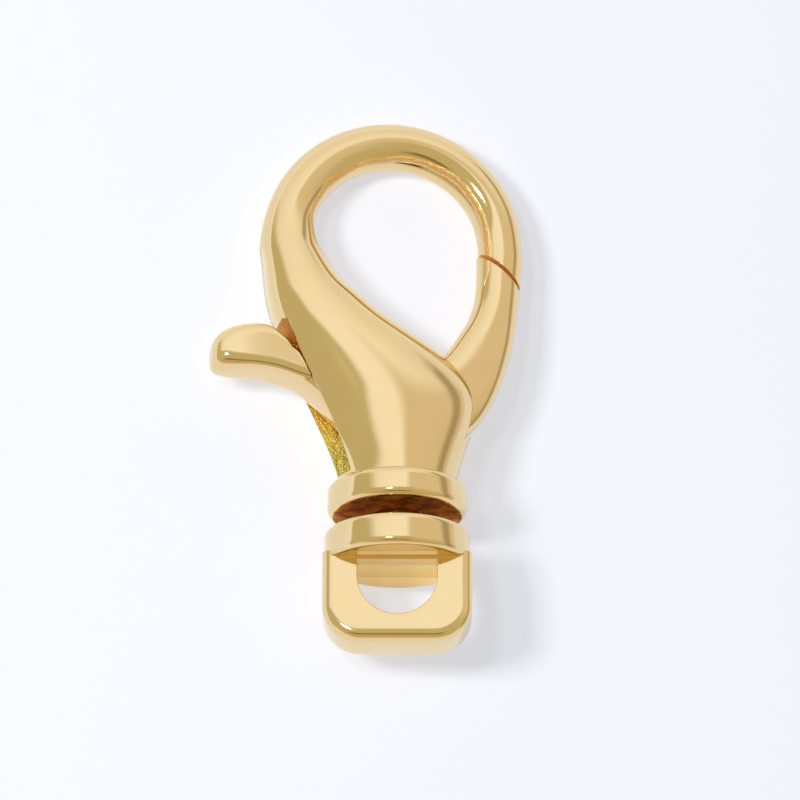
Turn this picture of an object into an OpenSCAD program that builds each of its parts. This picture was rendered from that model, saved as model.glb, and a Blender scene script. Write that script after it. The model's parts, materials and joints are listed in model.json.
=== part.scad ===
/* [Loop] */
// Thickness of the round wire at the top of the loop
wire_d = 2.4; // [2.1:0.05:2.7]
// Thickness of the wire at the tip of the hook
tip_d = 2.24; // [2.0:0.02:2.4]
// Width of the loop, between the middles of the wire at both sides
loop_w = 11.06; // [10.26:0.1:12.06]
// Height of the loop's centre above the collar's lower face
loop_rise = 14.45; // [13.6:0.05:15.6]
// Height of the loop above its centre, to the middle of the wire
loop_top = 5.45; // [5.0:0.05:6.0]
// Width of the slit between the tip of the hook and the gate
slit_w = 0.2; // [0.12:0.02:0.3]
// Slope of the slit, down towards the outside
slit_slope = 40; // [36:1:44]

/* [Body] */
// Width of the body where it is widest
belly_w = 8.66; // [8.02:0.04:9.22]
// Thickness of the body where it is widest
belly_t = 5.5; // [5.1:0.05:5.6]
// Width of the neck where it meets the collar
neck_w = 5.9; // [5.5:0.05:6.2]
// Thickness of the neck where it meets the collar
neck_t = 5.3; // [5.0:0.05:5.35]
// Width of the slot that the lever turns in
slot_t = 2.6; // [2.4:0.05:2.8]
// Depth of the shallow groove in which the slot runs out up the left side
groove_depth = 0.2; // [0.1:0.02:0.3]

/* [Lever] */
// Space between the lever and each wall of the slot
lever_clear = 0.1; // [0.05:0.01:0.15]
// Thickness of the thumb piece, outside the slot
thumb_t = 2.7; // [2.5:0.05:2.9]
// Width of the thumb piece
thumb_w = 2.36; // [2.1:0.04:2.6]
// Diameter of the hinge pin
pin_d = 1.0; // [0.8:0.05:1.2]
// Metal left over each end of the hinge pin
pin_skin = 0.25; // [0.2:0.05:0.35]
// Running clearance of the lever on its pin, on the radius
pin_clear = 0.05; // [0.03:0.01:0.08]

/* [Swivel] */
// Diameter of the collar at the foot of the body
collar_d = 6.96; // [6.7:0.04:7.2]
// Height of the collar
collar_h = 1.6; // [1.4:0.05:1.9]
// Rounding of the collar's rims
collar_round = 0.42; // [0.3:0.02:0.5]
// Space between the collar and the eye's flange
swivel_gap = 0.85; // [0.6:0.05:1.1]
// Diameter of the swivel post
post_d = 2.0; // [1.6:0.1:2.2]
// Diameter of the post's head inside the neck
post_head_d = 2.9; // [2.7:0.05:3.0]
// Thickness of the post's head
post_head_h = 0.5; // [0.4:0.05:0.6]
// Running clearance of the post in the collar, on the radius
post_clear = 0.05; // [0.03:0.01:0.08]

/* [Eye] */
// Diameter of the eye's flange
flange_d = 7.24; // [7.2:0.04:7.6]
// Height of the eye's flange
flange_h = 1.7; // [1.5:0.05:2.0]
// Rounding of the flange's rims
flange_round = 0.36; // [0.2:0.02:0.4]
// Width of the eye plate
eye_w = 7.4; // [7.2:0.02:7.8]
// Length of the eye plate below the flange
eye_h = 4.26; // [4.0:0.02:4.6]
// Thickness of the eye plate
eye_t = 2.9; // [2.6:0.05:3.2]
// Radius of the eye plate's two lower corners
eye_corner = 1.9; // [1.5:0.05:2.1]
// Rounding of the eye plate's front and back edges
eye_round = 0.55; // [0.4:0.05:0.7]
// Width of the hole in the eye
hole_w = 3.96; // [3.4:0.04:4.2]
// Straight length of the hole's two sides
hole_side = 0.84; // [0.7:0.02:1.1]
// How far the eye stands turned from square with the hook
eye_turn = -12; // [-20:1:20]

/* [Hidden] */

// Points round a section, and sections between two rows of a table
ROUND_BODY = 32;
ROUND_LEVER = 24;
STEPS = 3;
$fn = 96;
// The fit of a pressed piece, on the radius
FIT = 0.01;
// How far a cutting shape runs past what it cuts
PAST = 1;

// The loop's centre stands a little to the left of the swivel's axis, and its right
// side a little higher than its left. The slit stands where that side meets the gate
half_loop = loop_w / 2;
loop_x = -0.037 * half_loop;
loop_skew = 0.032 * half_loop;
pivot = [0, 0.374 * loop_rise];
slit_at = [loop_x + 0.975 * half_loop, 0.925 * loop_rise];
lever_t = slot_t - 2 * lever_clear;
pin_l = belly_t - 2 * pin_skin;
// The post's head sits a little below the collar's top, in a space of its own
SEAT_DROP = 0.2;
post_seat = collar_h - SEAT_DROP;
post_foot = 0.65 * flange_h;
head_room = 0.15;
head_space_h = post_head_h + 3 * head_room;
hole_r = hole_w / 2;
ledge_h = 0.12;
flange_foot = -swivel_gap - flange_h;
eye_top = flange_foot + flange_round;

// A section row: its centre, its half width, its half thickness, the direction
// of its outer side and its squareness, where 2 is an ellipse
X = 0;
Y = 1;
HALF_W = 2;
HALF_T = 3;
TURN = 4;
SQUARE = 5;

// The wire from the hook's tip round to the left side of the loop
WIRE_END = 162;
wire_rows = concat(
    [for (down = [0.48, 0.32, 0.16])
        [loop_x + half_loop * (1 - 0.2 * down * down),
         loop_rise + loop_skew - loop_top * down, tip_d / 2, tip_d / 2, -9 * down, 2]],
    [for (a = [0:18:WIRE_END])
        let (r = (tip_d + (wire_d - tip_d) * min(1, a / 90)) / 2)
        [loop_x + half_loop * cos(a), loop_rise + loop_skew * cos(a) + loop_top * sin(a),
         r, r, a, 2]]);

// The body from the loop's left side down to the collar. Columns: centre across
// as a share of half_loop, centre up as a share of loop_rise, half width as a share
// of the belly's, half thickness as a share of the belly's, turn, squareness
body_shares = [
    [-1.015, 0.988, 0.334, 0.510, 184, 2.00],
    [-0.977, 0.919, 0.373, 0.595, 190, 2.00],
    [-0.885, 0.820, 0.458, 0.705, 194, 2.00],
    [-0.753, 0.743, 0.558, 0.780, 197, 2.00],
    [-0.591, 0.659, 0.660, 0.853, 198, 2.00],
    [-0.387, 0.578, 0.800, 0.914, 198, 2.00],
    [-0.174, 0.494, 0.930, 0.965, 196, 2.00],
    [-0.028, 0.415, 1.000, 0.994, 193, 2.00],
    [0.018, 0.339, 0.945, 1.000, 189, 2.05],
    [-0.005, 0.262, 0.825, 0.993, 185, 2.05]];
neck_shares = [
    [0.000, 0.180, 1.060, 1.020, 182, 2.05],
    [0.000, 0.118, 1.000, 1.009, 180, 2.00],
    [0.000, 0.055, 0.980, 1.000, 180, 2.00]];
function rows_from(shares, half_w, half_t) =
    [for (s = shares) [s[X] * half_loop, s[Y] * loop_rise, s[HALF_W] * half_w,
                       s[HALF_T] * half_t, s[TURN], s[SQUARE]]];
hook_rows = concat(wire_rows, rows_from(body_shares, belly_w / 2, belly_t / 2),
                   rows_from(neck_shares, neck_w / 2, neck_t / 2));

// The lever in three stretches: the thumb piece, the root that begins inside it and
// turns in the slot, and the gate. The columns are the body's, as shares of each
// stretch's own width and thickness
thumb_shares = [
    [-1.724, 0.541, 0.160, 0.150, 270, 2.0],
    [-1.712, 0.543, 0.480, 0.480, 270, 2.2],
    [-1.675, 0.548, 0.740, 0.720, 270, 2.6],
    [-1.600, 0.557, 0.910, 0.870, 270, 3.0],
    [-1.485, 0.565, 0.990, 0.930, 271, 4.0],
    [-1.330, 0.570, 1.030, 0.965, 275, 5.0],
    [-1.150, 0.562, 1.130, 0.985, 286, 5.0],
    [-0.960, 0.532, 1.370, 1.000, 304, 4.4]];
root_shares = [
    [-1.190, 0.557, 0.420, 0.800, 286, 4.0],
    [-0.950, 0.516, 0.610, 1.000, 294, 4.0],
    [-0.700, 0.453, 0.690, 1.000, 286, 4.0],
    [-0.420, 0.393, 0.830, 1.000, 276, 4.0],
    [0.000, 0.376, 0.930, 1.000, 273, 4.0],
    [0.390, 0.417, 1.000, 1.000, 309, 3.6],
    [0.655, 0.530, 0.790, 1.000, 331, 3.0]];
gate_shares = [
    [0.800, 0.650, 1.270, 1.020, 344, 2.5],
    [0.872, 0.727, 1.110, 1.010, 351, 2.2],
    [0.918, 0.801, 1.020, 1.000, 355, 2.0],
    [0.938, 0.872, 1.000, 1.000, 359, 2.0],
    [0.945, 0.942, 1.000, 1.000, 361, 2.0],
    [0.940, 1.012, 1.000, 1.000, 361, 2.0]];
hub_w = 1.8 * thumb_w;
thumb_rows = rows_from(thumb_shares, thumb_w / 2, thumb_t / 2);
lever_rows = concat(rows_from(root_shares, hub_w / 2, lever_t / 2),
                    rows_from(gate_shares, tip_d / 2, tip_d / 2));

// The slot, seen from the front. Columns: across as a share of half_loop, up as a
// share of loop_rise
slot_shares = [
    [-1.10, 0.674],
    [-0.90, 0.644],
    [-0.55, 0.583],
    [-0.26, 0.545],
    [-0.11, 0.589],
    [0.00, 0.645],
    [-0.10, 0.780],
    [1.30, 0.800],
    [1.30, 0.360],
    [0.70, 0.315],
    [0.54, 0.262],
    [0.32, 0.205],
    [0.20, 0.135],
    [-1.90, 0.115]];

// A smooth curve through four rows, from the second to the third
function between(a, b, c, d, t) =
    0.5 * (2 * b + (c - a) * t + (2 * a - 5 * b + 4 * c - d) * t * t
           + (3 * b - 3 * c + d - a) * t * t * t);
function row_at(rows, i) = rows[max(0, min(len(rows) - 1, i))];
function smooth(rows, steps) =
    concat([for (i = [0:len(rows) - 2], k = [0:steps - 1])
            between(row_at(rows, i - 1), rows[i], rows[i + 1],
                    row_at(rows, i + 2), k / steps)],
           [rows[len(rows) - 1]]);

function bowed(v, square) = sign(v) * pow(abs(v), 2 / square);
function ring_point(row, a) =
    let (out = row[HALF_W] * bowed(cos(a), row[SQUARE]))
    [row[X] + out * cos(row[TURN]), row[Y] + out * sin(row[TURN]),
     row[HALF_T] * bowed(sin(a), row[SQUARE])];
function ring(row, sides) = [for (i = [0:sides - 1]) ring_point(row, 360 * i / sides)];

// The faces of a solid between rings, closed flat at both ends
function skin_faces(rings, sides) = concat(
    [[for (i = [sides - 1:-1:0]) i]],
    [for (r = [0:rings - 2], i = [0:sides - 1])
        let (a = r * sides + i, b = r * sides + (i + 1) % sides)
        [a, b, b + sides]],
    [for (r = [0:rings - 2], i = [0:sides - 1])
        let (a = r * sides + i, b = r * sides + (i + 1) % sides)
        [a, b + sides, a + sides]],
    [[for (i = [0:sides - 1]) (rings - 1) * sides + i]]);
module skin(rings) {
    sides = len(rings[0]);
    polyhedron([for (r = rings, p = r) p], skin_faces(len(rings), sides));
}

// The clasp lies on its back, on the collar's rim and the top of the loop. Its own
// length runs along Y, and it leans down towards the loop by lie_tilt
rim = [collar_h - collar_round, collar_d / 2 - collar_round];
reach = loop_rise + loop_top - rim[0];
lie_tilt = acos((wire_d / 2 - collar_round) / norm([rim[1], reach])) - atan2(reach, rim[1]);
lie_drop = (loop_rise + loop_top) * sin(lie_tilt) + wire_d / 2;
left_end = -thumb_rows[0][X];
right_end = loop_x + half_loop + tip_d / 2;
top_end = (loop_rise + loop_top) * cos(lie_tilt) + wire_d / 2;
eye_foot = eye_h - flange_foot;
foot_dip = (eye_t / 2 - eye_round) * cos(eye_turn)
           + (eye_w / 2 - eye_corner) * abs(sin(eye_turn));
foot_end = (eye_foot - eye_round) * cos(lie_tilt) + foot_dip * sin(lie_tilt) + eye_round;
module lying() {
    translate([(left_end - right_end) / 2, (foot_end - top_end) / 2, lie_drop])
        rotate([-lie_tilt, 0, 0]) children();
}

// A solid turned about the swivel's axis, which runs along Y
module about_axis() {
    rotate([-90, 0, 0]) rotate_extrude() children();
}

// Half the outline of a disc with both rims rounded, from height low to high
module rim_profile(radius, low, high, rounding) {
    translate([0, low]) square([radius - rounding, high - low]);
    translate([0, low + rounding]) square([radius, high - low - 2 * rounding]);
    for (h = [low + rounding, high - rounding])
        translate([radius - rounding, h]) circle(rounding);
}

// The edge of the shallow groove above the slot, which follows the body's left side
// and fades out where the body grows as thin as the slot is wide. It begins at this
// share of its depth, cut off by a notch that reaches out by a share of half_loop
FADE = 0.5;
NOTCH_REACH = 0.8;
function groove_edge() =
    let (rows = smooth(hook_rows, STEPS), first = len(wire_rows) * STEPS)
    [for (i = [1:3 * STEPS])
        let (row = rows[first + i],
             depth = groove_depth * min(1, FADE + (1 - FADE) * i / STEPS),
             out = row[HALF_W] - depth)
        [row[X] + out * cos(row[TURN]), row[Y] + out * sin(row[TURN])]];

// The slot that the lever turns in, right through from side to side, and the groove
module slot_space() {
    groove = groove_edge();
    notch = groove[0] + NOTCH_REACH * half_loop * [-1, 1];
    slot = [for (s = slot_shares) [s[X] * half_loop, s[Y] * loop_rise]];
    linear_extrude(slot_t, center = true) polygon(concat([notch], groove, slot));
}

// The space beyond the slit, on the side that is 1 for the gate and -1 for the tip
module past_slit(side) {
    block = 1.9 * tip_d;
    translate(concat(slit_at, 0)) rotate([0, 0, -slit_slope])
        translate([0, side * (block - slit_w) / 2, 0]) cube(block, center = true);
}

module hinge_cylinder(radius, length) {
    translate([pivot[X], pivot[Y], 0]) cylinder(h = length, r = radius, center = true);
}

// The cast body: the hook, the two cheeks with the slot between them, the neck
// and the collar
module hook_body() {
    color("goldenrod") lying() difference() {
        union() {
            skin([for (row = smooth(hook_rows, STEPS)) ring(row, ROUND_BODY)]);
            about_axis() rim_profile(collar_d / 2, 0, collar_h, collar_round);
        }
        past_slit(-1);
        slot_space();
        hinge_cylinder(pin_d / 2 + FIT, pin_l + 2 * FIT);
        rotate([-90, 0, 0]) {
            translate([0, 0, -PAST]) cylinder(h = post_seat + PAST, r = post_d / 2 + post_clear);
            translate([0, 0, post_seat])
                cylinder(h = head_space_h, r = post_head_d / 2 + head_room);
        }
    }
}

// The lever: the thumb piece, the root that turns in the slot, and the gate
module gate_lever() {
    color("gold") lying() difference() {
        union() {
            skin([for (row = smooth(thumb_rows, STEPS)) ring(row, ROUND_LEVER)]);
            skin([for (row = smooth(lever_rows, STEPS)) ring(row, ROUND_LEVER)]);
        }
        past_slit(1);
        hinge_cylinder(pin_d / 2 + pin_clear, thumb_t + 2 * PAST);
    }
}

// The hinge pin, pressed into both cheeks and covered at both ends
module pivot_pin() {
    color("darkgoldenrod") lying() hinge_cylinder(pin_d / 2, pin_l);
}

// The post that the eye turns on, with its head inside the neck
module swivel_post() {
    color("darkgoldenrod") lying() rotate([-90, 0, 0]) {
        translate([0, 0, -swivel_gap - post_foot])
            cylinder(h = swivel_gap + post_foot + post_seat + post_head_h, r = post_d / 2);
        translate([0, 0, post_seat + post_clear]) cylinder(h = post_head_h, r = post_head_d / 2);
    }
}

// The outline of the eye plate, drawn in by inset, up into the flange
module eye_outline(inset) {
    low = -eye_foot + inset;
    side = eye_w / 2 - inset;
    round_r = eye_corner - inset;
    translate([-side, low + round_r]) square([2 * side, eye_top - low - round_r]);
    translate([-side + round_r, low]) square([2 * (side - round_r), 2 * round_r]);
    for (s = [-1, 1]) translate([s * (side - round_r), low + round_r]) circle(round_r);
}

// The rounding along one face of the eye plate, at height z
module eye_edge(z) {
    side = eye_w / 2 - eye_round;
    low = -eye_foot + eye_round;
    turn_r = eye_corner - eye_round;
    for (s = [-1, 1]) {
        translate([s * side, low + turn_r, z]) rotate([-90, 0, 0])
            cylinder(h = eye_top - low - turn_r, r = eye_round);
        translate([s * (side - turn_r), low + turn_r, z]) rotate([0, 0, s > 0 ? -90 : 180])
            rotate_extrude(angle = 90) translate([turn_r, 0]) circle(eye_round);
    }
    translate([0, low, z]) rotate([0, 90, 0])
        cylinder(h = 2 * (side - turn_r), r = eye_round, center = true);
}

// The hole in the eye, straight under the flange and round below
module eye_hole() {
    linear_extrude(eye_t + 2 * PAST, center = true)
        translate([0, flange_foot - ledge_h - hole_side]) {
            translate([-hole_r, 0]) square([hole_w, hole_side]);
            intersection() {
                circle(hole_r);
                translate([-hole_r, -hole_r]) square([hole_w, hole_r]);
            }
        }
}

// The eye: a round flange and a plate with the hole for a ring or a cord end
module swivel_eye() {
    color("khaki") lying() rotate([0, eye_turn, 0]) difference() {
        union() {
            about_axis() rim_profile(flange_d / 2, flange_foot, -swivel_gap, flange_round);
            linear_extrude(eye_t - 2 * eye_round, center = true) eye_outline(0);
            linear_extrude(eye_t, center = true) eye_outline(eye_round);
            for (z = [-1, 1]) eye_edge(z * (eye_t / 2 - eye_round));
        }
        eye_hole();
        rotate([-90, 0, 0]) translate([0, 0, -swivel_gap - post_foot - FIT])
            cylinder(h = post_foot + FIT + PAST, r = post_d / 2 + FIT);
    }
}

hook_body();
gate_lever();
pivot_pin();
swivel_post();
swivel_eye();
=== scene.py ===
"""A swivel lobster clasp in polished gold, lying on its back on a pale table.

Sizes are millimetres in the clasp's own frame: Y runs along the swivel's axis from
the eye to the loop, Z comes out of the front cheek and X goes across, with the
thumb piece on the minus side. The origin is on the axis at the collar's lower face.
"""

import json
import math
from collections import namedtuple

import bmesh
import bpy
import numpy as np
from mathutils import Matrix, Vector


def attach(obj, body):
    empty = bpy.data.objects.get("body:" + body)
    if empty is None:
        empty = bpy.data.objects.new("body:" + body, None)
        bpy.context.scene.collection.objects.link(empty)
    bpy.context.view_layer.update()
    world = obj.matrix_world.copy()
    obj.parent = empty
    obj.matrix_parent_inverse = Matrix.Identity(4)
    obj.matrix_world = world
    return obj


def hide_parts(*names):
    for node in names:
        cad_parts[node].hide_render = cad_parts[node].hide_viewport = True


MM = 0.001
# The fit of a pressed piece, and how far a cutting shape runs past what it cuts
FIT = 0.01
PAST = 1.0

# The loop
LOOP_W = 11.06
LOOP_RISE = 14.45
LOOP_TOP = 5.45
WIRE_D = 2.4
TIP_D = 2.24
SLIT_W = 0.2
SLIT_SLOPE = math.radians(40)
HALF_LOOP = LOOP_W / 2
LOOP_X = -0.037 * HALF_LOOP
LOOP_SKEW = 0.032 * HALF_LOOP
SLIT_AT = (LOOP_X + 0.975 * HALF_LOOP, 0.925 * LOOP_RISE)
SLIT_BLOCK = 1.9 * TIP_D
# The wire's run: the tip's rows below the loop's middle, in shares of LOOP_TOP, how
# far it bends in and turns there, and then the degrees round the loop
TIP_DOWN = (0.48, 0.32, 0.16)
TIP_BEND = 0.2
TIP_TURN = 9
WIRE_END = 162
WIRE_STEP = 18

# The body
BELLY_W = 8.66
BELLY_T = 5.5
NECK_W = 5.9
NECK_T = 5.3
SLOT_T = 2.6
GROOVE_DEPTH = 0.2
GROOVE_FADE = 0.5
GROOVE_STEPS = 3
NOTCH_REACH = 0.8 * HALF_LOOP
BORE_TOP = 1.8

# The lever
LEVER_CLEAR = 0.1
THUMB_T = 2.7
THUMB_W = 2.36
# The root's full width, the one that its table's shares are of
ROOT_W = 1.8 * THUMB_W
PIN_D = 1.0
PIN_SKIN = 0.25
PIN_CLEAR = 0.05
PIVOT = (0.0, 0.374 * LOOP_RISE)

# The swivel and the eye
COLLAR_D = 6.96
COLLAR_H = 1.6
COLLAR_ROUND = 0.42
SWIVEL_GAP = 0.85
POST_D = 2.0
POST_CLEAR = 0.05
FLANGE_D = 7.24
FLANGE_H = 1.7
FLANGE_ROUND = 0.36
EYE_W = 7.4
EYE_H = 4.26
EYE_T = 2.9
EYE_CORNER = 1.9
EYE_ROUND = 0.55
HOLE_W = 3.96
HOLE_SIDE = 0.84
LEDGE_H = 0.12
EYE_TURN = math.radians(-12)
FLANGE_FOOT = -SWIVEL_GAP - FLANGE_H
EYE_FOOT = FLANGE_FOOT - EYE_H
CORNER_STEPS = 16
EDGE_STEPS = 8
HOLE_STEPS = 48

# Points round a section, steps from one row of a table to the next, and the rounds
# of easing along each run. The hook's run is eased further on the body: from one row
# on, and fully a few rows later
SIDES = 96
STEPS = 12
HOOK_EASE = 24
THUMB_EASE = 6
LEVER_EASE = 20
BODY_FROM = 15
BODY_EASE = 110
EASE_FADE = 4
# Points round a ring of the swivel, and steps round its rims
RING_SIDES = 192
RIM_STEPS = 9

# The grain on the slot's back wall: size, spacing, most lumps to a square millimetre,
# their least and largest stretch, and how far they are spun
GRAIN_SIZE = 0.085
GRAIN_SPACING = 0.11
GRAIN_DENSITY = 90.0
GRAIN_LEAST = (0.5, 0.5, 0.5)
GRAIN_MOST = (1.0, 1.2, 0.8)
GRAIN_SPIN = (0.5, 0.5, 6.28)
GRAIN_SEED = 7

# The photograph's view: how far it looks down on the clasp, and how far round it
# stands to the thumb piece's side
VIEW_DOWN = math.radians(69.5)
VIEW_ROUND = math.radians(12)
VIEW_DISTANCE = 300.0
VIEW_TARGET = (0.142, 6.248, 0.0)
VIEW_LENS = 270.0

# A section: its centre, its half width and half thickness, the direction of its
# outer side in degrees and its squareness, where 2 is an ellipse
Row = namedtuple("Row", "x y half_w half_t turn square")

# Centres are shares of HALF_LOOP and LOOP_RISE, half widths and half thicknesses
# are shares of each stretch's own
BODY_SHARES = [
    Row(-1.015, 0.988, 0.334, 0.510, 184, 2.00),
    Row(-0.977, 0.919, 0.373, 0.595, 190, 2.00),
    Row(-0.885, 0.820, 0.458, 0.705, 194, 2.00),
    Row(-0.753, 0.743, 0.558, 0.780, 197, 2.00),
    Row(-0.591, 0.659, 0.660, 0.853, 198, 2.00),
    Row(-0.387, 0.578, 0.800, 0.914, 198, 2.00),
    Row(-0.174, 0.494, 0.930, 0.965, 196, 2.00),
    Row(-0.028, 0.415, 1.000, 0.994, 193, 2.00),
    Row(0.018, 0.339, 0.945, 1.000, 189, 2.05),
    Row(0.005, 0.262, 0.825, 0.993, 185, 2.05),
]
NECK_SHARES = [
    Row(0.000, 0.180, 1.060, 1.020, 182, 2.05),
    Row(0.000, 0.118, 1.000, 1.009, 180, 2.00),
    Row(0.000, 0.055, 0.980, 1.000, 180, 2.00),
]
THUMB_SHARES = [
    Row(-1.724, 0.541, 0.020, 0.020, 270, 2.0),
    Row(-1.722, 0.541, 0.180, 0.170, 270, 2.0),
    Row(-1.712, 0.543, 0.480, 0.480, 270, 2.2),
    Row(-1.675, 0.548, 0.740, 0.720, 270, 2.6),
    Row(-1.600, 0.557, 0.910, 0.870, 270, 3.0),
    Row(-1.485, 0.565, 0.990, 0.930, 271, 4.0),
    Row(-1.330, 0.570, 1.030, 0.965, 275, 5.0),
    Row(-1.150, 0.562, 1.130, 0.985, 286, 5.0),
    Row(-0.960, 0.532, 1.370, 1.000, 304, 4.4),
]
ROOT_SHARES = [
    Row(-1.190, 0.557, 0.420, 0.800, 286, 4.0),
    Row(-0.950, 0.516, 0.610, 1.000, 294, 4.0),
    Row(-0.700, 0.453, 0.690, 1.000, 286, 4.0),
    Row(-0.420, 0.393, 0.830, 1.000, 276, 4.0),
    Row(0.000, 0.376, 0.930, 1.000, 273, 4.0),
    Row(0.390, 0.417, 1.000, 1.000, 309, 3.6),
    Row(0.655, 0.530, 0.790, 1.000, 331, 3.0),
]
GATE_SHARES = [
    Row(0.800, 0.650, 1.270, 1.020, 344, 2.5),
    Row(0.872, 0.727, 1.110, 1.010, 351, 2.2),
    Row(0.918, 0.801, 1.020, 1.000, 355, 2.0),
    Row(0.938, 0.872, 1.000, 1.000, 359, 2.0),
    Row(0.945, 0.942, 1.000, 1.000, 361, 2.0),
    Row(0.940, 1.012, 1.000, 1.000, 361, 2.0),
]
# The slot's outline from the front, as shares of HALF_LOOP and LOOP_RISE
SLOT_SHARES = [
    (-1.10, 0.674),
    (-0.90, 0.644),
    (-0.55, 0.583),
    (-0.26, 0.545),
    (-0.11, 0.589),
    (0.00, 0.645),
    (-0.10, 0.780),
    (1.30, 0.800),
    (1.30, 0.360),
    (0.70, 0.315),
    (0.54, 0.262),
    (0.32, 0.205),
    (0.20, 0.135),
    (-1.90, 0.115),
]
# The patch of cast grain on the back cheek's wall, in the same shares
GRAIN_SHARES = [
    (-0.64, 0.400),
    (-0.56, 0.330),
    (-0.49, 0.250),
    (-0.42, 0.170),
    (0.10, 0.150),
    (0.00, 0.200),
    (-0.35, 0.320),
]

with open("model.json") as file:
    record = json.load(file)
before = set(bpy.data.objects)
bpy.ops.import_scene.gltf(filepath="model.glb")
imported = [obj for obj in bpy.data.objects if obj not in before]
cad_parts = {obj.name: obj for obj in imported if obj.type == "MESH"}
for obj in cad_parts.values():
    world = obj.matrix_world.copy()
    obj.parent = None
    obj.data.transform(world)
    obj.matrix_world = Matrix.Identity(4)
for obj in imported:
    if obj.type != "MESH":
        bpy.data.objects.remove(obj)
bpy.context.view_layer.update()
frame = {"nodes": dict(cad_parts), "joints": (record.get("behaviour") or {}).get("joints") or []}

# The clasp's own frame in the world, from the record's two joints
joints = {j["name"]: j for j in frame["joints"]}
ALONG = Vector(joints["eye_swivel"]["axis"]).normalized()
OUT = Vector(joints["lever_hinge"]["axis"]).normalized()
ACROSS = ALONG.cross(OUT)
CLASP = Matrix.Translation(joints["eye_swivel"]["pos_m"]) @ Matrix(
    (ACROSS, ALONG, OUT)).transposed().to_4x4()


# ---- Sections and skins ----

def rows_from(shares, half_w, half_t):
    return [Row(s.x * HALF_LOOP, s.y * LOOP_RISE, s.half_w * half_w, s.half_t * half_t,
                s.turn, s.square) for s in shares]


def hook_rows():
    """The hook from its tip over the loop and down the body to the collar."""
    rows = []
    for down in TIP_DOWN:
        rows.append(Row(LOOP_X + HALF_LOOP * (1 - TIP_BEND * down * down),
                        LOOP_RISE + LOOP_SKEW - LOOP_TOP * down,
                        TIP_D / 2, TIP_D / 2, -TIP_TURN * down, 2))
    for degrees in range(0, WIRE_END + 1, WIRE_STEP):
        a = math.radians(degrees)
        r = (TIP_D + (WIRE_D - TIP_D) * min(1, degrees / 90)) / 2
        rows.append(Row(LOOP_X + HALF_LOOP * math.cos(a),
                        LOOP_RISE + LOOP_SKEW * math.cos(a) + LOOP_TOP * math.sin(a),
                        r, r, degrees, 2))
    rows += rows_from(BODY_SHARES, BELLY_W / 2, BELLY_T / 2)
    return rows + rows_from(NECK_SHARES, NECK_W / 2, NECK_T / 2)


def thumb_rows():
    return rows_from(THUMB_SHARES, THUMB_W / 2, THUMB_T / 2)


def lever_rows():
    """The lever's root in the slot and the gate that grows out of it."""
    root = rows_from(ROOT_SHARES, ROOT_W / 2, SLOT_T / 2 - LEVER_CLEAR)
    return root + rows_from(GATE_SHARES, TIP_D / 2, TIP_D / 2)


def drawn_out(rows, steps, ease, stretch=0, more=0):
    """A smooth run of sections through the rows, eased so that polish shows no kink.
    From the stretch's row on, it is eased little by little by so many rounds more."""
    table = np.array(rows, float)
    last = len(table) - 1
    run = []
    for i in range(last):
        a, b, c, d = (table[max(0, min(last, j))] for j in (i - 1, i, i + 1, i + 2))
        for k in range(steps):
            t = k / steps
            run.append(0.5 * (2 * b + (c - a) * t + (2 * a - 5 * b + 4 * c - d) * t ** 2
                              + (3 * b - 3 * c + d - a) * t ** 3))
    run = np.array(run + [table[last]])
    for _ in range(ease):
        run[1:-1] = (run[:-2] + 2 * run[1:-1] + run[2:]) / 4
    eased = run.copy()
    for _ in range(more):
        eased[1:-1] = (eased[:-2] + 2 * eased[1:-1] + eased[2:]) / 4
    share = np.clip((np.arange(len(run)) / steps - stretch) / EASE_FADE, 0, 1)[:, None]
    return run + share * share * (3 - 2 * share) * (eased - run)


def section(row, sides):
    """The points round one section, evenly spread by angle."""
    x, y, half_w, half_t, turn, square = row
    a = np.arange(sides) * 2 * math.pi / sides
    c, s = np.cos(a), np.sin(a)
    reach = (np.abs(c) ** square + np.abs(s) ** square) ** (-1 / square)
    out = half_w * reach * c
    turn = math.radians(turn)
    return np.stack([x + out * math.cos(turn), y + out * math.sin(turn),
                     half_t * reach * s], axis=1)


def new_piece(name, verts, faces):
    mesh = bpy.data.meshes.new(name)
    mesh.from_pydata([tuple(v) for v in verts], [], faces)
    obj = bpy.data.objects.new(name, mesh)
    bpy.context.scene.collection.objects.link(obj)
    outwards(mesh)
    return obj


def outwards(mesh, weld=1e-5):
    bm = bmesh.new()
    bm.from_mesh(mesh)
    bmesh.ops.remove_doubles(bm, verts=bm.verts, dist=weld)
    bmesh.ops.recalc_face_normals(bm, faces=bm.faces)
    bm.to_mesh(mesh)
    bm.free()


def skinned(name, rings):
    """A closed solid between rings of as many points each."""
    n = len(rings[0])
    starts = [r * n for r in range(len(rings))]
    faces = [(a + i, a + (i + 1) % n, b + (i + 1) % n, b + i)
             for a, b in zip(starts, starts[1:]) for i in range(n)]
    faces += [tuple(range(n))[::-1], tuple(range(starts[-1], starts[-1] + n))]
    return new_piece(name, np.concatenate(rings), faces)


def cast_run(name, run):
    """A closed solid between the sections of a run."""
    return skinned(name, [section(row, SIDES) for row in run])


def prism(name, outline, low, high):
    """A straight solid on an outline in the clasp's X and Y."""
    n = len(outline)
    verts = [(x, y, z) for z in (low, high) for x, y in outline]
    faces = [tuple(range(n))[::-1], tuple(range(n, 2 * n))]
    faces += [(i, (i + 1) % n, n + (i + 1) % n, n + i) for i in range(n)]
    return new_piece(name, verts, faces)


def disc_outline(radius, at, sides=64):
    return [(at[0] + radius * math.cos(2 * math.pi * i / sides),
             at[1] + radius * math.sin(2 * math.pi * i / sides)) for i in range(sides)]


def stood_up(obj):
    """Turns a piece made along Z so that it stands along the swivel's axis."""
    obj.data.transform(Matrix.Rotation(math.radians(-90), 4, "X"))
    return obj


def joined(base, *others):
    return cut_or_joined(base, others, "UNION")


def carved(base, *cutters):
    return cut_or_joined(base, cutters, "DIFFERENCE")


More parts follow.
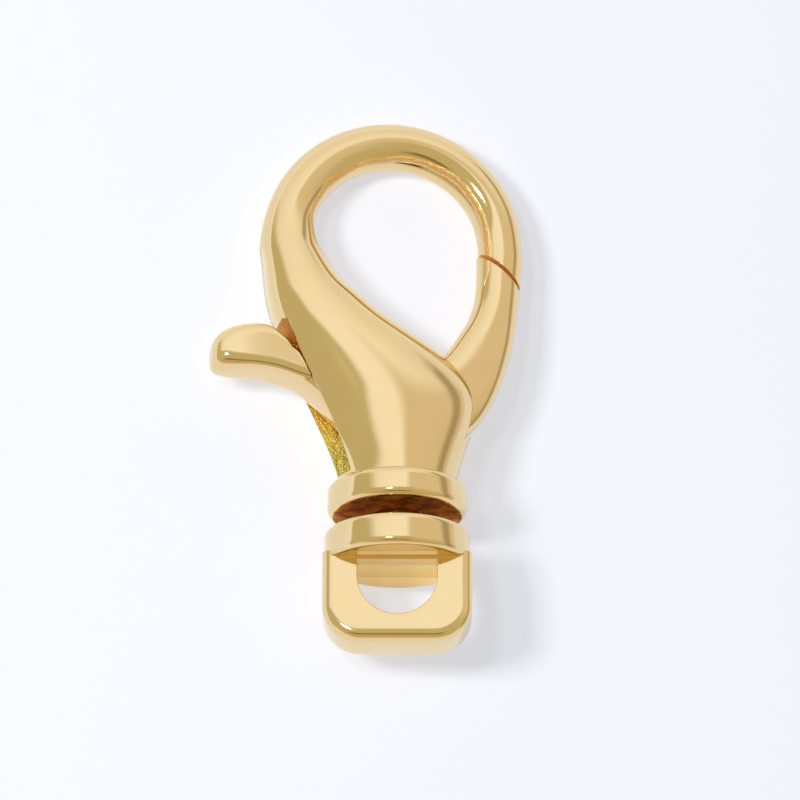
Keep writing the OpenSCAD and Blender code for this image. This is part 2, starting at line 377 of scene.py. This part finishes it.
def cut_or_joined(base, others, operation):
    """The base after an exact boolean with each of the others, which are used up."""
    for other in others:
        step = base.modifiers.new("step", "BOOLEAN")
        step.operation = operation
        step.solver = "EXACT"
        step.object = other
    result = as_plain_mesh(base)
    for other in others:
        drop(other)
    return result


def as_plain_mesh(obj):
    bpy.context.view_layer.update()
    shown = obj.evaluated_get(bpy.context.evaluated_depsgraph_get())
    mesh = bpy.data.meshes.new_from_object(shown)
    old = obj.data
    obj.modifiers.clear()
    obj.data = mesh
    bpy.data.meshes.remove(old)
    mesh.name = obj.name
    return obj


def drop(obj):
    mesh = obj.data
    bpy.data.objects.remove(obj)
    bpy.data.meshes.remove(mesh)


# ---- Node trees ----

class Wire:
    """A node's output that takes part in Python sums."""

    def __init__(self, graph, socket):
        self.graph = graph
        self.socket = socket

    def maths(self, operation, *others):
        return self.graph.add("Math", {"operation": operation}, self, *others)

    def __add__(self, other):
        return self.maths("ADD", other)

    def __sub__(self, other):
        return self.maths("SUBTRACT", other)

    def __rsub__(self, other):
        return self.graph.add("Math", {"operation": "SUBTRACT"}, other, self)

    def __mul__(self, other):
        return self.maths("MULTIPLY", other)

    def __truediv__(self, other):
        return self.maths("DIVIDE", other)

    __radd__ = __add__
    __rmul__ = __mul__

    def clamped(self):
        return self.graph.add("Math", {"operation": "ADD", "use_clamp": True}, self, 0.0)

    def over(self, start, width):
        """Rises from 0 to 1 between the start and one width past it."""
        return ((self - start) / width).clamped()

    def near(self, middle, width, peak=1.0):
        """Highest at the middle, and down by 1 a width away from it."""
        return (peak - (self - middle).maths("ABSOLUTE") / width).clamped()


class Graph:
    """Adds nodes to one tree. Settings come first, then inputs by place or by name."""

    def __init__(self, tree, kind):
        self.tree = tree
        self.kind = kind

    def node(self, name, settings=None, *by_place, **by_name):
        prefix = {"Math": "Shader", "Mix": "Shader", "VectorMath": "Shader",
                  "CombineXYZ": "Shader", "RandomValue": "Function"}.get(name, self.kind)
        node = self.tree.nodes.new(prefix + "Node" + name)
        for key, value in (settings or {}).items():
            setattr(node, key, value)
        for i, value in enumerate(by_place):
            self.plug(node.inputs[i], value)
        for key, value in by_name.items():
            self.plug(node.inputs[key.replace("_", " ")], value)
        return node

    def add(self, name, settings=None, *by_place, **by_name):
        return Wire(self, self.node(name, settings, *by_place, **by_name).outputs[0])

    def plug(self, socket, value):
        if isinstance(value, Wire):
            self.tree.links.new(value.socket, socket)
        elif value is not None:
            socket.default_value = value

    def measured(self, operation, where, other):
        """The number that a Vector Math node gives for two vectors."""
        node = self.node("VectorMath", {"operation": operation}, where, tuple(other))
        return Wire(self, node.outputs["Value"])


def shader(name):
    """A fresh material, its graph and its object coordinates in millimetres."""
    material = bpy.data.materials.new(name)
    material.use_nodes = True
    material.node_tree.nodes.clear()
    graph = Graph(material.node_tree, "Shader")
    where = Wire(graph, graph.node("TexCoord").outputs["Object"])
    where = graph.add("VectorMath", {"operation": "SCALE"}, where, None, None, 1 / MM)
    return material, graph, where


def distance_along(graph, where, way):
    """How far a point lies along a direction, from the clasp's origin."""
    return graph.measured("DOT_PRODUCT", where, way) - way.dot(CLASP.translation) / MM


def finish_shader(graph, surface):
    graph.node("OutputMaterial", {}, Surface=surface)


def mixed(graph, share, first, second):
    """A colour between two. The Mix node keeps its colours on sockets 6, 7 and 2."""
    node = graph.node("Mix", {"data_type": "RGBA"})
    graph.plug(node.inputs[0], share)
    graph.plug(node.inputs[6], first)
    graph.plug(node.inputs[7], second)
    return Wire(graph, node.outputs[2])


# ---- Materials ----

GOLD = (0.83, 0.66, 0.37, 1)
WARM_GOLD = (0.81, 0.625, 0.33, 1)
CAST_GOLD = (1.0, 0.52, 0.10, 1)
# The next two: painted light on the slot's lower grain, and painted glints on its specks
LIT_CAST = (1.0, 0.88, 0.20, 1)
GRAIN_GLINT = (1.0, 0.98, 0.60, 1)
# The eye's hole: painted shade and light across each stroke, and a painted highlight on the ridges
FILED_SHADED = (0.80, 0.47, 0.08, 1)
FILED_LIT = (1.0, 0.66, 0.15, 1)
RIDGE_HIGHLIGHT = (1.0, 0.86, 0.50, 1)
# Painted shade for the swivel's gap and the post in it: dark, warm, and a tint
GAP_SHADE_DARK = (0.32, 0.13, 0.04, 1)
GAP_SHADE_WARM = (1.0, 0.60, 0.16, 1)
GAP_SHADE_TINT = (0.55, 0.25, 0.08, 1)
TABLE_DIM = (0.66, 0.67, 0.69, 1)
TABLE_PALE = (0.68, 0.69, 0.71, 1)
TABLE_GLOW = (0.88, 0.91, 1.0, 1)

# The rough seam: how far in front of the clasp's middle plane, its half width, how
# far it wanders, and how far from the loop's centre it reaches and fades out
SEAM_OUT = 0.78
SEAM_WIDTH = 0.16
SEAM_WANDER = 0.30
SEAM_REACH = 5.0
SEAM_FADE = 0.125
# Heights of the marks that polishing leaves
WAVE_H = 0.004
HAIRLINE_H = 0.0006
PIT_H = 0.002
CRUMB_H = 0.20
POLISHED_EDGE = 0.07 * MM
# Height of the cast grain, where along the clasp the painted shade up the slot starts
# to turn its colour deeper, and over what length
GRAIN_H = 0.09 * MM
SHADE_FROM = 0.20 * LOOP_RISE
SHADE_LENGTH = 4.5
# The file's strokes through the thickness of the eye, and their height
STROKES = 1.5
STROKE_H = 0.02


def polished_gold():
    """Plated and polished casting: near mirror, with faint waves, pits and hairlines,
    and a rough seam round the inside of the loop that the polish doesn't reach."""
    material, g, where = shader("polished_gold")
    centre = CLASP @ Vector((LOOP_X * MM, LOOP_RISE * MM, 0))
    inside = g.measured("DISTANCE", where, centre / MM).over(SEAM_REACH, -SEAM_FADE)
    crumbs = g.add("TexNoise", {}, where, Scale=3.2, Detail=5.0, Roughness=0.75)
    wander = g.add("TexNoise", {}, where, Scale=0.8, Detail=2.0)
    off_seam = distance_along(g, where, OUT) - SEAM_OUT + (wander - 0.5) * SEAM_WANDER
    seam = off_seam.near(0, SEAM_WIDTH) * inside
    waves = g.add("TexNoise", {}, where, Scale=0.55, Detail=1.0)
    hairlines = g.add("TexNoise", {}, where, Scale=7.0, Detail=6.0, Roughness=0.7)
    pit = (1 - g.add("TexVoronoi", {}, where, Scale=1.6) * 18.0).clamped()
    height = waves * WAVE_H + hairlines * HAIRLINE_H - pit * PIT_H + seam * crumbs * CRUMB_H
    edge = g.add("Bevel", {"samples": 6}, Radius=POLISHED_EDGE)
    bump = g.add("Bump", {}, Strength=1.0, Distance=MM, Height=height, Normal=edge)
    colour = mixed(g, waves, GOLD, WARM_GOLD)
    colour = mixed(g, seam * 0.8, colour, CAST_GOLD)
    finish_shader(g, g.add("BsdfPrincipled", {}, Base_Color=colour, Metallic=1.0,
                           Roughness=0.06 + hairlines * 0.05 + pit * 0.2 + seam * 0.12,
                           Normal=bump))
    return material


def cast_gold():
    """The unpolished grain inside the slot, with painted light: pale yellow and flecked
    with painted glints low down, turned deeper above by painted shade.
    """
    material, g, where = shader("cast_gold")
    coarse = g.add("TexNoise", {}, where, Scale=3.6, Detail=4.0, Roughness=0.6)
    fine = g.add("TexNoise", {}, where, Scale=11.0, Detail=3.0)
    bump = g.add("Bump", {}, Strength=1.0, Distance=GRAIN_H, Height=coarse + fine * 0.4)
    # Painted shade that deepens the colour up the slot
    shade_share = distance_along(g, where, ALONG).over(SHADE_FROM, SHADE_LENGTH)
    # Painted glints on the grain, fewer where the painted shade is
    glint_share = (coarse * 7.0 + fine * 3.0 - 4.7 - shade_share * 1.4).clamped()
    colour = mixed(g, shade_share, LIT_CAST, CAST_GOLD)
    colour = mixed(g, glint_share, colour, GRAIN_GLINT)
    finish_shader(g, g.add("BsdfPrincipled", {}, Base_Color=colour, Metallic=0.85,
                           Roughness=0.30 + fine * 0.15, Normal=bump))
    return material


def filed_gold():
    """The inside of the eye's hole, filed flat in a few strokes with ridges between. Each
    stroke is painted from shade to light, each ridge with a painted highlight, and the
    deep gold is a painted reflection of the gold round it.
    """
    material, g, where = shader("filed_gold")
    face = CLASP.to_3x3() @ Matrix.Rotation(EYE_TURN, 3, "Y") @ Vector((0, 0, 1))
    through = distance_along(g, where, face) / EYE_T + 0.5
    stroke = (through * STROKES).maths("FRACT")
    ridge = ((stroke - 0.5).maths("ABSOLUTE") * 14.0 - 6.0).clamped()
    # Painted shade to light across each stroke, and a painted highlight on each ridge
    colour = mixed(g, stroke, FILED_SHADED, FILED_LIT)
    colour = mixed(g, ridge, colour, RIDGE_HIGHLIGHT)
    bump = g.add("Bump", {}, Strength=1.0, Distance=MM,
                 Height=ridge * STROKE_H + stroke * STROKE_H)
    finish_shader(g, g.add("BsdfPrincipled", {}, Base_Color=colour, Metallic=1.0,
                           Roughness=0.2, Normal=bump))
    return material


def gap_shade_gold():
    """The two faces that look at each other across the swivel's gap, painted dark and
    warm for the shade that falls between them.
    """
    material, g, where = shader("gap_shade_gold")
    # Painted shade, mottled between dark and warm
    shade_mottle = g.add("TexNoise", {}, where, Scale=1.3, Detail=4.0, Roughness=0.6)
    warm_share = (shade_mottle * 3.5 - 1.4).clamped()
    finish_shader(g, g.add("BsdfPrincipled", {}, Base_Color=mixed(g, warm_share, GAP_SHADE_DARK, GAP_SHADE_WARM),
                           Metallic=0.8, Specular_Tint=GAP_SHADE_TINT,
                           Roughness=0.22 + shade_mottle * 0.15))
    return material


def shaded_brass():
    """The turned post in the gap, painted dark for the shade that falls there."""
    material, g, where = shader("shaded_brass")
    shade_mottle = g.add("TexNoise", {}, where, Scale=1.8, Detail=4.0)
    # Painted shade, mottled like the gap's faces
    colour = mixed(g, shade_mottle, GAP_SHADE_DARK, GAP_SHADE_WARM)
    finish_shader(g, g.add("BsdfPrincipled", {}, Base_Color=colour, Metallic=1.0,
                           Roughness=0.30 + shade_mottle * 0.2))
    return material


def table_top():
    """The pale table, a little uneven and lit from within, so that no shade is deep."""
    material, g, where = shader("table_top")
    shade = g.add("TexNoise", {}, where, Scale=0.02, Detail=2.0)
    finish_shader(g, g.add("BsdfPrincipled", {}, Base_Color=mixed(g, shade, TABLE_DIM, TABLE_PALE),
                           Roughness=0.5, Emission_Color=TABLE_GLOW, Emission_Strength=0.53))
    return material


# ---- Geometry trees ----

def geometry_tree(name, inputs):
    """A new geometry tree with named inputs: (graph, {name: wire}, {name: identifier})."""
    tree = bpy.data.node_groups.new(name, "GeometryNodeTree")
    tree.interface.new_socket("Geometry", in_out="OUTPUT", socket_type="NodeSocketGeometry")
    tree.interface.new_socket("Geometry", in_out="INPUT", socket_type="NodeSocketGeometry")
    names = {}
    for key, (kind, value) in inputs.items():
        socket = tree.interface.new_socket(key, in_out="INPUT", socket_type="NodeSocket" + kind)
        socket.default_value = value
        names[key] = socket.identifier
    start = tree.nodes.new("NodeGroupInput")
    graph = Graph(tree, "Geometry")
    wires = {s.name: Wire(graph, s) for s in start.outputs if s.name}
    return graph, wires, names


def end_tree(graph, geometry, material):
    """The closing nodes: real instances, the material and the output."""
    real = graph.add("RealizeInstances", {}, geometry)
    painted = graph.add("SetMaterial", {}, Geometry=real, Material=material)
    out = graph.tree.nodes.new("NodeGroupOutput")
    graph.plug(out.inputs[0], painted)


def run_tree(obj, graph, names, values):
    """Runs a tree on an object with these inputs and leaves a plain mesh."""
    step = obj.modifiers.new("shape", "NODES")
    step.node_group = graph.tree
    for key, value in values.items():
        step[names[key]] = value
    return as_plain_mesh(obj)


def turned_ring_tree(material):
    """A ring with rounded rims, swept round Z: the rule of the collar and flange."""
    graph, wire, names = geometry_tree("turned_ring", {
        "Outer Radius": ("Float", 1.0), "Inner Radius": ("Float", 0.5),
        "Low": ("Float", 0.0), "High": ("Float", 1.0), "Rounding": ("Float", 0.1)})
    width = wire["Outer Radius"] - wire["Inner Radius"]
    height = wire["High"] - wire["Low"]
    profile = graph.add("CurvePrimitiveQuadrilateral", {}, Width=width, Height=height)
    rounded = graph.add("FilletCurve", {"mode": "POLY"}, Curve=profile,
                        Radius=wire["Rounding"], Count=RIM_STEPS)
    path = graph.add("CurvePrimitiveCircle", {}, Resolution=RING_SIDES,
                     Radius=(wire["Outer Radius"] + wire["Inner Radius"]) * 0.5)
    level = graph.add("SetCurveNormal", {"mode": "Z_UP"}, Curve=path)
    swept = graph.add("CurveToMesh", {}, level, rounded)
    lift = graph.add("CombineXYZ", {}, None, None, (wire["Low"] + wire["High"]) * 0.5)
    placed = graph.add("SetPosition", {}, swept, Offset=lift)
    end_tree(graph, placed, material)
    return graph, names


def turned_ring(name, tree, radius, bore, low, high, rounding):
    graph, names = tree
    blank = new_piece(name, [(0, 0, 0)], [])
    ring = run_tree(blank, graph, names, {
        "Outer Radius": radius, "Inner Radius": bore, "Low": low, "High": high,
        "Rounding": rounding})
    outwards(ring.data)
    return stood_up(ring)


def grain_tree(material):
    """Coarse cast grain strewn over a surface and sunk into it."""
    graph, wire, names = geometry_tree("cast_grain", {
        "Grain Size": ("Float", 0.1), "Spacing": ("Float", 0.1), "Seed": ("Int", 7)})
    points = graph.add("DistributePointsOnFaces", {"distribute_method": "POISSON"},
                       Mesh=wire["Geometry"], Distance_Min=wire["Spacing"],
                       Density_Max=GRAIN_DENSITY, Seed=wire["Seed"])
    grain = graph.add("MeshIcoSphere", {}, Radius=wire["Grain Size"], Subdivisions=2)
    size = graph.add("RandomValue", {"data_type": "FLOAT_VECTOR"}, GRAIN_LEAST, GRAIN_MOST,
                     Seed=wire["Seed"])
    spin = graph.add("RandomValue", {"data_type": "FLOAT_VECTOR"}, (0, 0, 0), GRAIN_SPIN,
                     Seed=wire["Seed"])
    strewn = graph.add("InstanceOnPoints", {}, Points=points, Instance=grain,
                       Rotation=spin, Scale=size)
    end_tree(graph, strewn, material)
    return graph, names


# ---- The castings ----

def past_slit(side):
    """The block beyond the slit: side is 1 for the gate and -1 for the hook's tip."""
    half = SLIT_BLOCK / 2
    low = side * (half - SLIT_W / 2) - half
    corners = [(-half, low), (half, low), (half, low + SLIT_BLOCK), (-half, low + SLIT_BLOCK)]
    c, s = math.cos(-SLIT_SLOPE), math.sin(-SLIT_SLOPE)
    outline = [(SLIT_AT[0] + x * c - y * s, SLIT_AT[1] + x * s + y * c) for x, y in corners]
    return prism("past_slit", outline, -half, half)


def groove_edge():
    """The floor of the shallow groove that runs on above the slot's left end."""
    rows = hook_rows()
    run = drawn_out(rows, GROOVE_STEPS, 0)
    first = (len(rows) - len(BODY_SHARES) - len(NECK_SHARES)) * GROOVE_STEPS
    edge = []
    for i in range(1, 3 * GROOVE_STEPS + 1):
        row = Row(*run[first + i])
        fade = min(1, GROOVE_FADE + (1 - GROOVE_FADE) * i / GROOVE_STEPS)
        out = row.half_w - GROOVE_DEPTH * fade
        turn = math.radians(row.turn)
        edge.append((row.x + out * math.cos(turn), row.y + out * math.sin(turn)))
    return edge


def slot_space():
    """The slot between the cheeks, with the groove that it runs out in."""
    groove = groove_edge()
    notch = (groove[0][0] - NOTCH_REACH, groove[0][1] + NOTCH_REACH)
    slot = [(x * HALF_LOOP, y * LOOP_RISE) for x, y in SLOT_SHARES]
    return prism("slot_space", [notch] + groove + slot, -SLOT_T / 2, SLOT_T / 2)


def hook_casting(ring_tree):
    """The hook, cheeks, neck and collar in one casting, slotted and bored."""
    hook = cast_run("hook_casting", drawn_out(hook_rows(), STEPS, HOOK_EASE,
                                             BODY_FROM, BODY_EASE))
    collar = turned_ring("collar", ring_tree, COLLAR_D / 2, POST_D / 2 + POST_CLEAR,
                         0, COLLAR_H, COLLAR_ROUND)
    bore = prism("bore", disc_outline(POST_D / 2 + POST_CLEAR, (0, 0)), -PAST, BORE_TOP)
    hinge = prism("hinge", disc_outline(PIN_D / 2 + FIT, PIVOT),
                  PIN_SKIN - BELLY_T / 2, BELLY_T / 2 - PIN_SKIN)
    hook = joined(hook, collar)
    return carved(hook, past_slit(-1), slot_space(), hinge, stood_up(bore))


def lever_casting():
    """The thumb piece, the root in the slot and the gate in one casting."""
    thumb = cast_run("lever_casting", drawn_out(thumb_rows(), STEPS, THUMB_EASE))
    gate = cast_run("gate", drawn_out(lever_rows(), STEPS, LEVER_EASE))
    hinge = prism("hinge", disc_outline(PIN_D / 2 + PIN_CLEAR, PIVOT), -THUMB_T, THUMB_T)
    return carved(joined(thumb, gate), past_slit(1), hinge)


def eye_outline(inset):
    """The eye plate's outline, drawn in by inset and open at the top, as points."""
    low, side, r = EYE_FOOT + inset, EYE_W / 2 - inset, EYE_CORNER - inset
    top = FLANGE_FOOT + FLANGE_ROUND
    points = [(side, top)]
    for middle, start in ((side - r, 0), (r - side, -math.pi / 2)):
        for i in range(CORNER_STEPS + 1):
            a = start - math.pi / 2 * i / CORNER_STEPS
            points.append((middle + r * math.cos(a), low + r + r * math.sin(a)))
    return points + [(-side, top)]


def eye_plate():
    """The plate with its front and back edges rounded, before the hole."""
    layers = []
    for i in range(EDGE_STEPS + 1):
        a = math.pi / 2 * i / EDGE_STEPS
        layers.append((EYE_ROUND * (1 - math.sin(a)), EYE_T / 2 - EYE_ROUND * (1 - math.cos(a))))
    layers += [(inset, -z) for inset, z in layers[::-1]]
    return skinned("eye_casting", [[(x, y, z) for x, y in eye_outline(inset)]
                                   for inset, z in layers])


def eye_hole():
    """The D-shaped hole, straight above and round below."""
    top = FLANGE_FOOT - LEDGE_H
    middle = top - HOLE_SIDE
    r = HOLE_W / 2
    arc = [(r * math.cos(a), middle + r * math.sin(a))
           for a in (-math.pi * i / HOLE_STEPS for i in range(HOLE_STEPS + 1))]
    return prism("eye_hole", [(-r, top), (r, top)] + arc, -EYE_T, EYE_T)


def eye_casting(ring_tree):
    """The eye plate and its flange in one casting, turned on the swivel's axis."""
    flange = turned_ring("flange", ring_tree, FLANGE_D / 2, POST_D / 2 + FIT,
                         FLANGE_FOOT, -SWIVEL_GAP, FLANGE_ROUND)
    eye = carved(joined(eye_plate(), flange), eye_hole())
    eye.data.transform(Matrix.Rotation(EYE_TURN, 4, "Y"))
    return eye


def slot_grain(tree):
    """Grain on the back cheek's wall, below the lever, where the front lets it show."""
    graph, names = tree
    verts = [(x * HALF_LOOP, y * LOOP_RISE, -SLOT_T / 2) for x, y in GRAIN_SHARES]
    patch = new_piece("slot_grain", verts, [tuple(range(len(verts)))])
    return run_tree(patch, graph, names, {
        "Grain Size": GRAIN_SIZE, "Spacing": GRAIN_SPACING, "Seed": GRAIN_SEED})


# ---- Which faces keep which finish ----

# How near a face must be to its place, and how square its normal
NEAR = 0.01
SQUARE = 0.99
SAWN_SQUARE = 0.999
GAP_NEAR = 0.03
BORE_NEAR = 0.2
# The slot's stretch along the clasp, in shares of LOOP_RISE
SLOT_FOOT = 0.12
SLOT_HEAD = 0.673


def in_slot(face):
    """The slot's two walls and its ends, without the shallow groove above it."""
    tilt, depth = abs(face.normal.z), abs(face.center.z)
    wall = tilt > SQUARE and abs(depth - SLOT_T / 2) < NEAR
    end = tilt < 1 - SQUARE and depth < SLOT_T / 2 - NEAR
    return (wall or end) and SLOT_FOOT < face.center.y / LOOP_RISE < SLOT_HEAD


def in_slit(face):
    """The two faces that meet at the slit, left as they were sawn."""
    across = Vector((math.sin(SLIT_SLOPE), math.cos(SLIT_SLOPE), 0))
    off = across.dot(face.center - Vector((*SLIT_AT, 0)))
    sawn = abs(across.dot(face.normal)) > SAWN_SQUARE
    return sawn and abs(abs(off) - SLIT_W / 2) < NEAR


def in_hole(face):
    """The hole's straight upper wall and the flange's lower face over it, which the
    polish hardly reaches."""
    below = FLANGE_FOOT - face.center.y
    return face.normal.y < -SQUARE and min(abs(below), abs(below - LEDGE_H)) < NEAR


def in_gap(face):
    """The collar's lower face and the flange's upper face, inside their rounded rims."""
    level = min(abs(face.center.y), abs(face.center.y + SWIVEL_GAP))
    bore = math.hypot(face.center.x, face.center.z) < POST_D / 2 + BORE_NEAR
    return level < GAP_NEAR or (bore and -SWIVEL_GAP < face.center.y < COLLAR_H)


# ---- Putting together ----

# From this angle on, an edge between two faces is sharp
SHARP = math.radians(38)


def dress(obj, material, body, *nodes, others=()):
    """Puts a finished piece in its place, paints it and says what it stands for."""
    mesh = obj.data
    outwards(mesh)
    paint(mesh, material)
    for i, (finish, chosen) in enumerate(others, 1):
        mesh.materials.append(finish)
        for face in mesh.polygons:
            if chosen(face):
                face.material_index = i
    mesh.transform(CLASP @ Matrix.Scale(MM, 4))
    mesh.shade_smooth()
    mesh.set_sharp_from_angle(angle=SHARP)
    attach(obj, body)
    if nodes:
        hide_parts(*nodes)


def paint(mesh, material):
    mesh.materials.clear()
    mesh.materials.append(material)
    mesh.polygons.foreach_set("material_index", [0] * len(mesh.polygons))


def repaint(node, material):
    """Gives another finish to a piece that stays as the construction has it."""
    piece = frame["nodes"][node]
    paint(piece.data, material)


# ---- Camera, table and lights ----

def camera():
    """The photograph's view of the clasp."""
    down, away = math.sin(VIEW_DOWN), math.cos(VIEW_DOWN)
    side, front = math.sin(VIEW_ROUND), math.cos(VIEW_ROUND)
    back = Vector((-side * down, -away, front * down))
    right = Vector((front, 0, side))
    up = back.cross(right)
    at = Vector(VIEW_TARGET) + back * VIEW_DISTANCE
    place = Matrix((right, up, back)).transposed().to_4x4()
    place.translation = at * MM
    data = bpy.data.cameras.new("view")
    data.sensor_width = 36.0
    data.lens = VIEW_LENS
    data.clip_start = 0.01
    data.clip_end = 10.0
    view = bpy.data.objects.new("view", data)
    bpy.context.scene.collection.objects.link(view)
    view.matrix_world = CLASP @ place
    bpy.context.scene.camera = view


# The lights: place and size in metres, power in watts
Lamp = namedtuple("Lamp", "name at size power colour glints")
LAMPS = [
    Lamp("key", (-0.27, -0.01, 0.33), (0.08, 0.08), 0.78, (0.99, 0.995, 1.0), False),
    Lamp("sparkle", (-0.16, 0.02, 0.36), (0.055, 0.045), 0.16, (1.0, 1.0, 1.0), True),
]
LAMPS_AIM = Vector((0, 0.004, 0))

# The room that the polish reflects, and the even light that it gives to dull surfaces
PANES_LOW = (0.98, 0.94, 0.88, 1)
PANES_HIGH = (1.14, 1.15, 1.17, 1)
PANES_EAST = (0.92, 0.86, 0.76, 1)
CURTAIN = (0.83, 0.73, 0.58, 1)
WALL_NORTH = (0.63, 0.575, 0.365, 1)
WALL_SOUTH = (0.64, 0.50, 0.27, 1)
WALL_EAST = (0.80, 0.70, 0.55, 1)
CORNER = (0.38, 0.32, 0.20, 1)
STAND = (0.22, 0.15, 0.06, 1)
DOORWAY = (0.95, 0.88, 0.76, 1)
EVEN_LIGHT = (0.20, 0.205, 0.22, 1)
TABLE_REACH = 0.6


def softbox(lamp):
    data = bpy.data.lights.new(lamp.name, "AREA")
    data.shape = "RECTANGLE"
    data.size, data.size_y = lamp.size
    data.energy = lamp.power
    data.color = lamp.colour
    light = bpy.data.objects.new(lamp.name, data)
    bpy.context.scene.collection.objects.link(light)
    light.location = lamp.at
    light.rotation_euler = (Vector(lamp.at) - LAMPS_AIM).to_track_quat("Z", "Y").to_euler()
    light.visible_glossy = lamp.glints


def table():
    r = TABLE_REACH
    floor = new_piece("table", [(-r, -r, 0), (r, -r, 0), (r, r, 0), (-r, r, 0)], [(0, 1, 2, 3)])
    floor.data.materials.append(table_top())


def room():
    """The surroundings by direction: windows on the loop's side, with a curtain, and
    walls on the others."""
    world = bpy.data.worlds.new("room")
    world.use_nodes = True
    world.node_tree.nodes.clear()
    g = Graph(world.node_tree, "Shader")
    way = Wire(g, g.node("TexCoord").outputs["Generated"])
    east, north, up = (Wire(g, socket) for socket in g.node("SeparateXYZ", {}, way).outputs)
    panes = mixed(g, up.over(0.35, 0.625), PANES_LOW, PANES_HIGH)
    panes = mixed(g, east.over(0.25, 0.7), panes, PANES_EAST)
    panes = mixed(g, east.over(0.03, 0.14) * north.over(0.66, -0.14), panes, CURTAIN)
    wall = mixed(g, north.over(-0.3, -0.5), WALL_NORTH, WALL_SOUTH)
    wall = mixed(g, east.over(0.15, 0.2) * north.over(-0.15, 0.3), wall, WALL_EAST)
    window = north.over(0.265, 0.06) * east.over(-0.82, 0.16)
    seen = mixed(g, window, wall, panes)
    corner = up.near(0.25, 0.13, 1.4) * east.over(0.50, 0.12)
    seen = mixed(g, corner * 0.8, seen, CORNER)
    stand = north.near(-0.52, 0.11, 1.3) * up.over(0.45, 0.1)
    stand = stand * east.over(0.25, -0.2) * east.over(-0.55, 0.2)
    seen = mixed(g, stand * 0.9, seen, STAND)
    seen = mixed(g, up.over(0.36, -0.10) * north.over(-0.35, -0.2), seen, DOORWAY)
    dull = Wire(g, g.node("LightPath").outputs["Is Diffuse Ray"])
    glow = g.add("Background", {}, Color=mixed(g, dull, seen, EVEN_LIGHT), Strength=1.0)
    g.node("OutputWorld", {}, Surface=glow)
    bpy.context.scene.world = world


def build():
    gold = polished_gold()
    grain = cast_gold()
    brass = shaded_brass()
    gap_shade = gap_shade_gold()
    rings = turned_ring_tree(gold)
    dress(hook_casting(rings), gold, "hook", "hook_body",
          others=[(grain, in_slot), (grain, in_slit), (gap_shade, in_gap)])
    dress(lever_casting(), gold, "lever", "gate_lever", others=[(grain, in_slit)])
    dress(eye_casting(rings), gold, "eye", "swivel_eye",
          others=[(gap_shade, in_gap), (filed_gold(), in_hole)])
    dress(slot_grain(grain_tree(grain)), grain, "hook")
    repaint("swivel_post", brass)
    repaint("pivot_pin", brass)
    camera()
    table()
    for lamp in LAMPS:
        softbox(lamp)
    room()
    bpy.context.scene.view_settings.view_transform = "Standard"


build()
